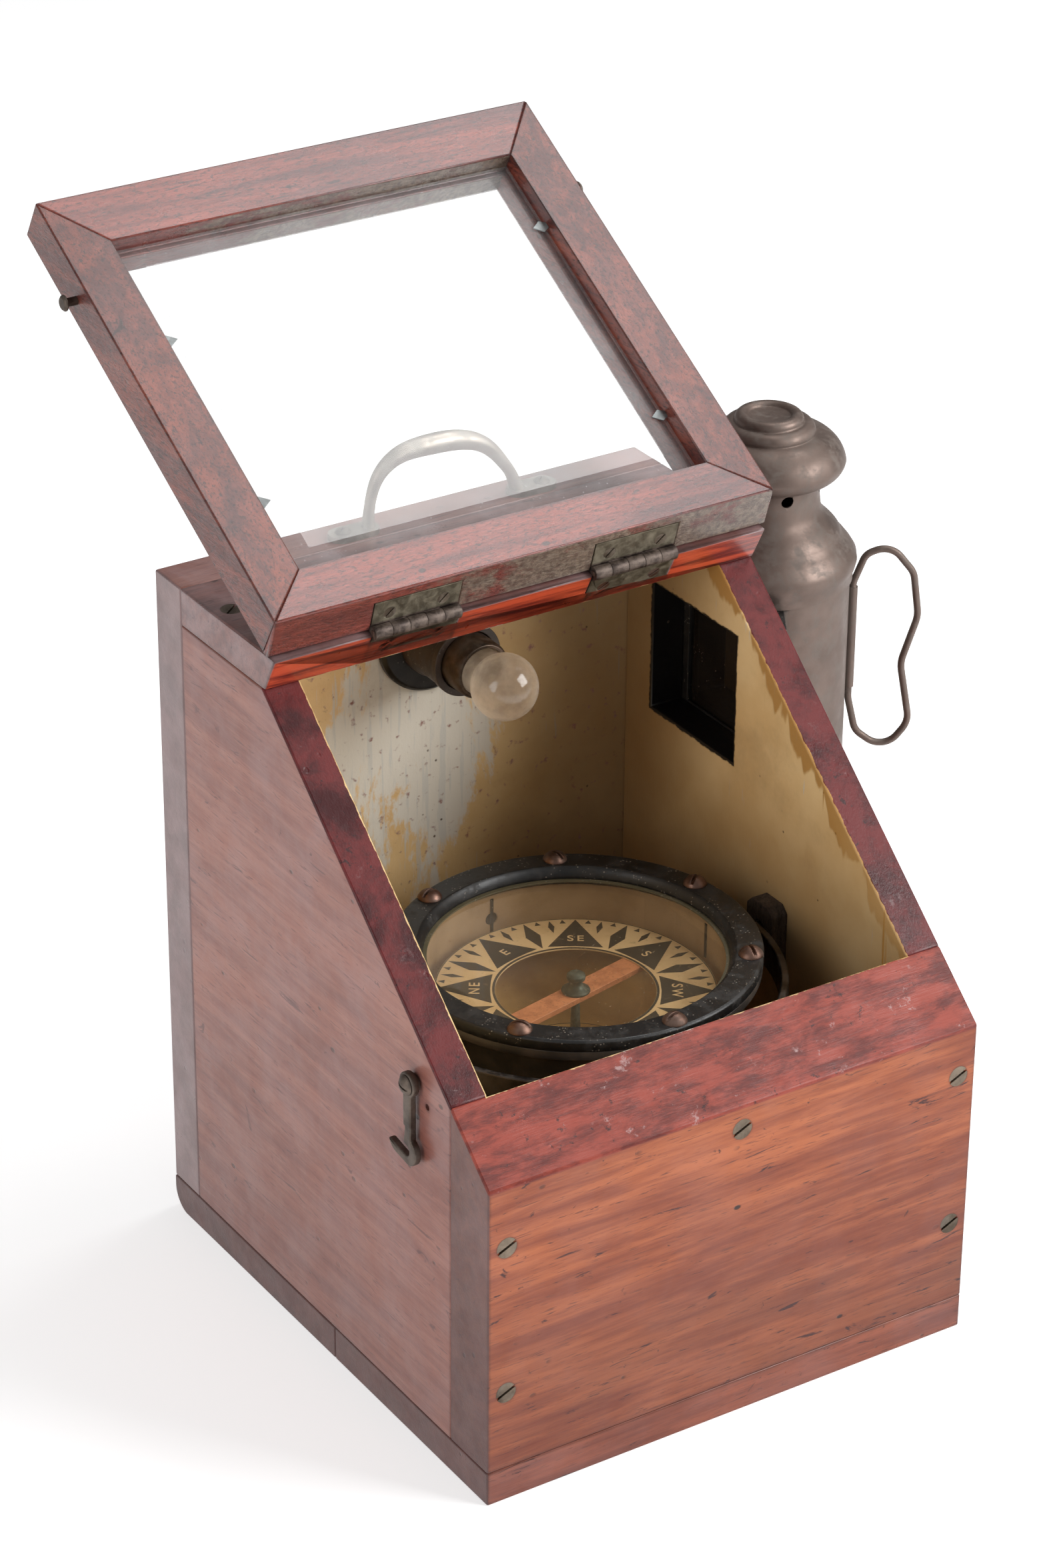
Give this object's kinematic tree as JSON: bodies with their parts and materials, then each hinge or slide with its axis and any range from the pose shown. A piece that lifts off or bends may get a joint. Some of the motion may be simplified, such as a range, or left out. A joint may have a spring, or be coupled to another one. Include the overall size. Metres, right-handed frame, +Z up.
{
  "type": "boxed compass",
  "caption": "Boat compass in a varnished wooden case with a sloping glazed lid standing open, a bulb inside, and an oil lamp hung on the right-hand wall.",
  "frame": {"origin": "middle of the case's underside, on the surface it stands on", "axes": "+X to the right along the front board, +Y to the back board, +Z up"},
  "size_m": [0.298, 0.3081, 0.3778],
  "materials": {
    "side_wood": "worn satin varnish on mahogany, greyed",
    "front_wood": "worn satin varnish on mahogany, scratched",
    "base_wood": "dull, greyed",
    "top_wood": "red varnish, worn",
    "lid_wood": "red varnish, worn rough",
    "aged_brass": "dull olive patina",
    "screw_copper": "copper-brown patina",
    "dull_brass": "satin, pale",
    "ring_brass": "brown patina",
    "bowl_brass": "cream paint inside, worn brass outside",
    "bezel_black": "satin black, specked",
    "weight_lead": "dull grey",
    "gasket": "greenish brown",
    "glass_clear": "clear",
    "glass_old": "clear, hazy bevelled border",
    "card_print": "parchment with a black compass rose",
    "magnet_red": "terracotta enamel",
    "patina_green": "blue-green patina",
    "holder_black": "black moulded base",
    "holder_brown": "brown moulded barrel",
    "cap_brass": "satin",
    "bulb_glass": "pearly, translucent",
    "lamp_brass": "brown-grey patina with green dust in the grooves",
    "bracket_black": "black japanned sheet",
    "wick": "woven cotton"
  },
  "bodies": {
    "case": {"base_board_front": "base_wood", "base_board_rear": "base_wood", "base_screws": "screw_copper", "front_board": "front_wood", "front_board_screws": "screw_copper", "back_board": "side_wood", "back_board_screws": "screw_copper", "left_side_panel": "side_wood", "right_side_panel": "side_wood", "top_board": "top_wood", "top_board_screws": "screw_copper", "hinge_lower_leaves": "aged_brass", "hinge_lower_screws": "screw_copper", "hinge_pins": "screw_copper", "hook_screws": "screw_copper", "carry_handle": "lamp_brass", "carry_handle_screws": "screw_copper", "gimbal_blocks": "dull_brass", "gimbal_block_screws": "screw_copper", "bulb_holder_base": "holder_black", "bulb_holder_barrel": "holder_brown", "bulb_holder_screws": "screw_copper", "bulb_cap": "cap_brass", "bulb_globe": "bulb_glass", "lamp_bracket": "bracket_black", "lamp_bracket_screws": "screw_copper"},
    "lid": {"lid_hinge_rail": "lid_wood", "lid_free_rail": "lid_wood", "lid_left_stile": "lid_wood", "lid_right_stile": "lid_wood", "lid_glass": "glass_old", "glazing_points": "screw_copper", "lid_pegs": "dull_brass", "hinge_upper_leaves": "aged_brass", "hinge_upper_screws": "screw_copper"},
    "left_hook": {"left_hook": "dull_brass"},
    "right_hook": {"right_hook": "dull_brass"},
    "gimbal": {"gimbal_ring": "ring_brass", "ring_pivots": "ring_brass"},
    "bowl": {"compass_bowl": "bowl_brass", "bowl_trunnions": "ring_brass", "bowl_weight": "weight_lead", "bezel_ring": "bezel_black", "bezel_screws": "screw_copper", "glass_gasket": "gasket", "compass_glass": "glass_clear", "pivot_post": "patina_green"},
    "card": {"compass_card": "card_print", "card_magnet": "magnet_red", "card_cap": "patina_green"},
    "oil_lamp": {"lamp_body": "lamp_brass", "lamp_hood": "bracket_black", "lamp_window": "glass_clear", "lamp_chimney": "lamp_brass", "lamp_cap": "lamp_brass", "lamp_handle": "lamp_brass"},
    "oil_font": {"lamp_font": "lamp_brass", "lamp_burner": "cap_brass", "lamp_wick": "wick"}
  },
  "joints": [
    {"name": "lid_hinge", "type": "hinge", "parent": "case", "child": "lid", "pos_m": [0, 0.0268, 0.2661], "axis": [1, 0, 0], "range_deg": [0, 190.5]},
    {"name": "left_hook_turn", "type": "hinge", "parent": "case", "child": "left_hook", "pos_m": [-0.1044, -0.065, 0.1475], "axis": [1, 0, 0], "range_deg": [-20, 244.4]},
    {"name": "right_hook_turn", "type": "hinge", "parent": "case", "child": "right_hook", "pos_m": [0.1044, -0.065, 0.1475], "axis": [1, 0, 0], "range_deg": [-20, 244.4]},
    {"name": "gimbal_pitch", "type": "hinge", "parent": "case", "child": "gimbal", "pos_m": [0, -0.008, 0.124], "axis": [1, 0, 0], "range_deg": [-18, 18]},
    {"name": "bowl_roll", "type": "hinge", "parent": "gimbal", "child": "bowl", "pos_m": [0, -0.008, 0.124], "axis": [0, 1, 0], "range_deg": [-18, 18]},
    {"name": "card_turn", "type": "hinge", "parent": "bowl", "child": "card", "pos_m": [0, -0.008, 0.1225], "axis": [0, 0, 1], "continuous": true},
    {"name": "lamp_lift", "type": "slide", "parent": "case", "child": "oil_lamp", "axis": [0, 0, 1], "range_m": [0, 0.06]},
    {"name": "font_drop", "type": "slide", "parent": "oil_lamp", "child": "oil_font", "axis": [0, 0, -1], "range_m": [0, 0.045]}
  ]
}
